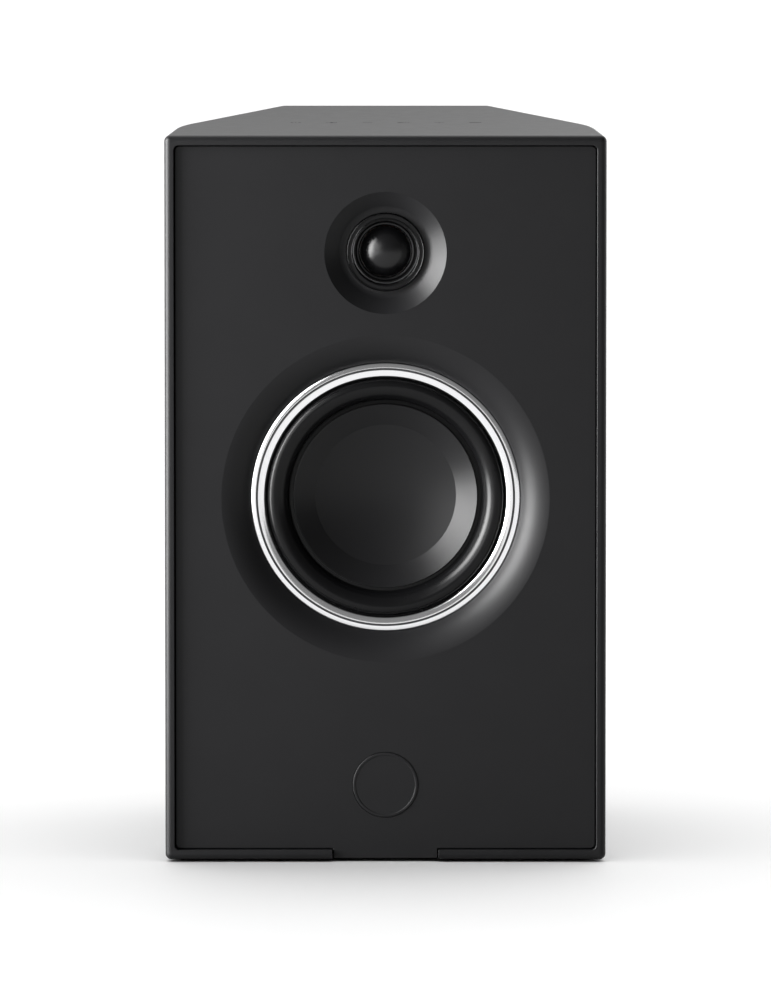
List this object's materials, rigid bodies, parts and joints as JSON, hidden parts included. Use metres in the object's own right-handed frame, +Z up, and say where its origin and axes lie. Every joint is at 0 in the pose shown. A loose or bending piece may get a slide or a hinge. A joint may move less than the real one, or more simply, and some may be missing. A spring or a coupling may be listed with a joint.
{
  "type": "bookshelf loudspeaker",
  "caption": "Powered two-way bookshelf loudspeaker with a woofer, a dome tweeter, a rear reflex port and a connection plate, in a cabinet that tapers to the back.",
  "frame": {"origin": "on the surface that the feet stand on, in the middle of the bounding box", "axes": "+Z up, -Y out of the front, +X to the right of someone who looks at the front"},
  "size_m": [0.1598, 0.198, 0.264],
  "materials": {
    "cabinet": "matte black lacquer on fibreboard",
    "baffle": "matte black lacquer on fibreboard",
    "bright_metal": "polished, with a fine turned grain",
    "steel": "plated",
    "ferrite": "dark grey, matt",
    "copper": "enamelled copper winding",
    "cone": "dark grey, satin",
    "rubber": "black, satin",
    "silk": "black coated silk, slightly glossy",
    "spider": "resin-stiffened yellow cloth",
    "black_plastic": "moulded, black",
    "grey_plastic": "moulded, dark grey",
    "red_plastic": "moulded, red",
    "white_plastic": "moulded, white",
    "board": "green solder mask on glass-epoxy",
    "aluminium": "black-anodised plate, plain aluminium inside",
    "foam": "open-cell foam"
  },
  "bodies": {
    "cabinet": {"cabinet_shell": "cabinet", "front_baffle": "baffle", "badge_disc": "baffle", "baffle_seal": "rubber", "foot_1": "rubber", "foot_2": "rubber", "foot_3": "rubber", "foot_4": "rubber", "woofer_trim_ring": "bright_metal", "woofer_surround": "rubber", "woofer_basket": "black_plastic", "woofer_spider": "spider", "woofer_top_plate": "steel", "woofer_magnet": "ferrite", "woofer_yoke": "steel", "woofer_screw_1": "steel", "woofer_screw_2": "steel", "woofer_screw_3": "steel", "woofer_screw_4": "steel", "tweeter_faceplate": "black_plastic", "tweeter_surround": "silk", "tweeter_top_plate": "steel", "tweeter_magnet": "ferrite", "tweeter_yoke": "steel", "port_tube": "black_plastic", "rear_plate": "aluminium", "rear_screw_1": "steel", "rear_screw_2": "steel", "rear_screw_3": "steel", "rear_screw_4": "steel", "line_in_left_jack": "white_plastic", "line_in_right_jack": "red_plastic", "sub_out_jack": "black_plastic", "terminal_base_red": "steel", "terminal_base_black": "steel", "digital_socket": "steel", "optical_socket": "black_plastic", "mains_inlet": "black_plastic", "power_switch_frame": "black_plastic", "pairing_switch_body": "black_plastic", "channel_switch_body": "steel", "main_board": "board", "power_transformer": "grey_plastic", "filter_capacitor": "black_plastic", "heatsink": "aluminium", "touch_board": "board", "woofer_lead": "rubber", "tweeter_lead": "rubber", "touch_lead": "rubber", "damping_foam": "foam"},
    "woofer_cone": {"woofer_cone": "cone", "woofer_coil_former": "aluminium", "woofer_voice_coil": "copper"},
    "tweeter_dome": {"tweeter_dome": "silk", "tweeter_voice_coil": "copper"},
    "power_rocker": {"power_rocker": "black_plastic"},
    "pairing_button": {"pairing_button": "grey_plastic"},
    "channel_slider": {"channel_slider": "grey_plastic"},
    "terminal_cap_red": {"terminal_cap_red": "red_plastic"},
    "terminal_cap_black": {"terminal_cap_black": "black_plastic"}
  },
  "joints": [
    {"name": "woofer_travel", "type": "slide", "parent": "cabinet", "child": "woofer_cone", "axis": [0, -1, 0], "range_m": [-0.003, 0.003], "stiffness_N_per_m": 1000, "deforming": ["woofer_surround", "woofer_spider"]},
    {"name": "tweeter_travel", "type": "slide", "parent": "cabinet", "child": "tweeter_dome", "axis": [0, -1, 0], "range_m": [-0.0003, 0.0003], "stiffness_N_per_m": 300, "deforming": ["tweeter_surround"]},
    {"name": "power_switch_rock", "type": "hinge", "parent": "cabinet", "child": "power_rocker", "pos_m": [-0.018, 0.083, 0.0388], "axis": [1, 0, 0], "range_deg": [-16, 0]},
    {"name": "pairing_button_press", "type": "slide", "parent": "cabinet", "child": "pairing_button", "axis": [0, -1, 0], "range_m": [0, 0.001], "stiffness_N_per_m": 400},
    {"name": "channel_switch_slide", "type": "slide", "parent": "cabinet", "child": "channel_slider", "axis": [1, 0, 0], "range_m": [0, 0.003]},
    {"name": "red_cap_turn", "type": "hinge", "parent": "cabinet", "child": "terminal_cap_red", "pos_m": [-0.0105, 0.09, 0.0748], "axis": [0, 1, 0], "range_deg": [0, 1440]},
    {"name": "black_cap_turn", "type": "hinge", "parent": "cabinet", "child": "terminal_cap_black", "pos_m": [0.0105, 0.09, 0.0748], "axis": [0, 1, 0], "range_deg": [0, 1440]}
  ]
}
